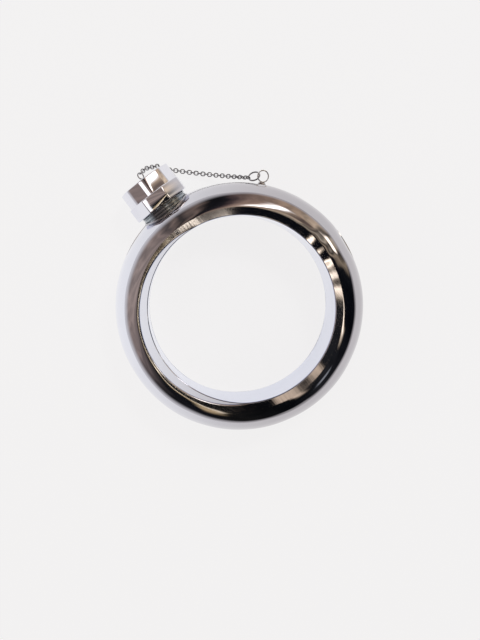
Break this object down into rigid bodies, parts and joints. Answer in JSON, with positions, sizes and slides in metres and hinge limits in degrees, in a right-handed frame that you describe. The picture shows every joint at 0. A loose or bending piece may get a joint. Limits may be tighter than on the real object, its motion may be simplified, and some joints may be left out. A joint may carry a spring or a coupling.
{
  "type": "bangle flask",
  "caption": "Hollow ring-shaped steel drinking flask worn as a bracelet, with a faceted screw cap held by a fine chain.",
  "frame": {"origin": "middle of the footprint of the whole flask, on the surface it lies on", "axes": "+Z is the ring's axis and points up from the flat rear crown, +Y is the neck's axis and points out of the mouth"},
  "size_m": [0.1, 0.1178, 0.028],
  "materials": {
    "polished_steel": "mirror-polished stainless steel",
    "band_steel": "polished stainless steel strip",
    "neck_steel": "turned stainless steel",
    "cap_steel": "polished stainless steel",
    "insert_plastic": "moulded polypropylene",
    "liner_rubber": "silicone sealing disc",
    "chain_steel": "bright drawn steel wire"
  },
  "bodies": {
    "flask": {"front_shell": "polished_steel", "rear_shell": "polished_steel", "inner_band": "band_steel", "neck_tube": "neck_steel", "neck_collar": "neck_steel", "body_eye": "chain_steel"},
    "swivel": {"cap_swivel": "chain_steel"},
    "cap": {"cap_shell": "cap_steel", "cap_insert": "insert_plastic", "cap_liner": "liner_rubber"},
    "jump_ring": {"jump_ring": "chain_steel"},
    "chain_01": {"link_37": "chain_steel", "link_36": "chain_steel", "link_35": "chain_steel"},
    "chain_02": {"link_34": "chain_steel", "link_33": "chain_steel", "link_32": "chain_steel"},
    "chain_03": {"link_31": "chain_steel", "link_30": "chain_steel", "link_29": "chain_steel"},
    "chain_04": {"link_28": "chain_steel", "link_27": "chain_steel", "link_26": "chain_steel"},
    "chain_05": {"link_25": "chain_steel", "link_24": "chain_steel", "link_23": "chain_steel"},
    "chain_06": {"link_22": "chain_steel", "link_21": "chain_steel", "link_20": "chain_steel"},
    "chain_07": {"link_19": "chain_steel", "link_18": "chain_steel", "link_17": "chain_steel"},
    "chain_08": {"link_16": "chain_steel", "link_15": "chain_steel", "link_14": "chain_steel"},
    "chain_09": {"link_13": "chain_steel", "link_12": "chain_steel", "link_11": "chain_steel"},
    "chain_10": {"link_10": "chain_steel", "link_09": "chain_steel", "link_08": "chain_steel"},
    "chain_11": {"link_07": "chain_steel", "link_06": "chain_steel", "link_05": "chain_steel"},
    "chain_12": {"link_04": "chain_steel", "link_03": "chain_steel", "link_02": "chain_steel", "link_01": "chain_steel"}
  },
  "joints": [
    {"name": "cap_lift", "type": "slide", "parent": "flask", "child": "swivel", "axis": [0, 1, 0], "range_m": [0, 0.00625]},
    {"name": "cap_turn", "type": "hinge", "parent": "swivel", "child": "cap", "pos_m": [0, 0.04784, 0.014], "axis": [0, 1, 0], "range_deg": [0, 900]},
    {"name": "jump_ring_pivot", "type": "hinge", "parent": "flask", "child": "jump_ring", "pos_m": [0.0388, 0.02732, 0.014], "axis": [-0.2333, 0.2501, -0.9397], "range_deg": [0, 6.93]},
    {"name": "chain_01_pivot", "type": "hinge", "parent": "jump_ring", "child": "chain_01", "pos_m": [0.03388, 0.03038, 0.01342], "axis": [0.906, -0.0976, 0.4118], "range_deg": [0, 25.41]},
    {"name": "chain_02_pivot", "type": "hinge", "parent": "chain_01", "child": "chain_02", "pos_m": [0.03181, 0.03236, 0.01095], "axis": [0.9128, -0.3977, 0.0929], "range_deg": [0, 22.39]},
    {"name": "chain_03_pivot", "type": "hinge", "parent": "chain_02", "child": "chain_03", "pos_m": [0.02945, 0.03462, 0.00829], "axis": [-0.6177, 0.5029, -0.6047], "range_deg": [0, 22.12]},
    {"name": "chain_04_pivot", "type": "hinge", "parent": "chain_03", "child": "chain_04", "pos_m": [0.02689, 0.03706, 0.00602], "axis": [-0.9002, 0.3254, -0.2894], "range_deg": [0, 21.9]},
    {"name": "chain_05_pivot", "type": "hinge", "parent": "chain_04", "child": "chain_05", "pos_m": [0.02416, 0.03968, 0.00419], "axis": [-0.6632, -0.7137, 0.2254], "range_deg": [0, 7.62]},
    {"name": "chain_06_pivot", "type": "hinge", "parent": "chain_05", "child": "chain_06", "pos_m": [0.02126, 0.04244, 0.0029], "axis": [-0.2992, -0.9406, -0.1605], "range_deg": [0, 7.85]},
    {"name": "chain_07_pivot", "type": "hinge", "parent": "chain_06", "child": "chain_07", "pos_m": [0.01826, 0.04531, 0.00227], "axis": [0.4665, -0.8496, -0.2459], "range_deg": [0, 20.63]},
    {"name": "chain_08_pivot", "type": "hinge", "parent": "chain_07", "child": "chain_08", "pos_m": [0.01522, 0.04821, 0.00237], "axis": [0.5719, -0.7607, -0.3071], "range_deg": [0, 22.46]},
    {"name": "chain_09_pivot", "type": "hinge", "parent": "chain_08", "child": "chain_09", "pos_m": [0.01223, 0.05103, 0.00324], "axis": [0.6834, -0.7024, 0.199], "range_deg": [0, 21.93]},
    {"name": "chain_10_pivot", "type": "hinge", "parent": "chain_09", "child": "chain_10", "pos_m": [0.0094, 0.05382, 0.00462], "axis": [-0.3939, 0.4332, 0.8107], "range_deg": [0, 24.06]},
    {"name": "chain_11_pivot", "type": "hinge", "parent": "chain_10", "child": "chain_11", "pos_m": [0.00722, 0.05648, 0.00678], "axis": [-0.6851, 0.666, 0.2952], "range_deg": [0, 24.27]},
    {"name": "chain_12_pivot", "type": "hinge", "parent": "chain_11", "child": "chain_12", "pos_m": [0.00435, 0.05759, 0.00965], "axis": [0.0063, 0.9708, -0.24], "range_deg": [0, 23.34]}
  ],
  "couplings": [
    {"joint": "cap_lift", "follows": "cap_turn", "m_per_rad": 0.00039789},
    {"joint": "jump_ring_pivot", "follows": "cap_turn", "ratio": 0.0076988},
    {"joint": "chain_01_pivot", "follows": "cap_turn", "ratio": 0.028231},
    {"joint": "chain_02_pivot", "follows": "cap_turn", "ratio": 0.024874},
    {"joint": "chain_03_pivot", "follows": "cap_turn", "ratio": 0.02458},
    {"joint": "chain_04_pivot", "follows": "cap_turn", "ratio": 0.02433},
    {"joint": "chain_05_pivot", "follows": "cap_turn", "ratio": 0.0084641},
    {"joint": "chain_06_pivot", "follows": "cap_turn", "ratio": 0.008723},
    {"joint": "chain_07_pivot", "follows": "cap_turn", "ratio": 0.022918},
    {"joint": "chain_08_pivot", "follows": "cap_turn", "ratio": 0.024952},
    {"joint": "chain_09_pivot", "follows": "cap_turn", "ratio": 0.024368},
    {"joint": "chain_10_pivot", "follows": "cap_turn", "ratio": 0.026733},
    {"joint": "chain_11_pivot", "follows": "cap_turn", "ratio": 0.026961},
    {"joint": "chain_12_pivot", "follows": "cap_turn", "ratio": 0.02593}
  ]
}
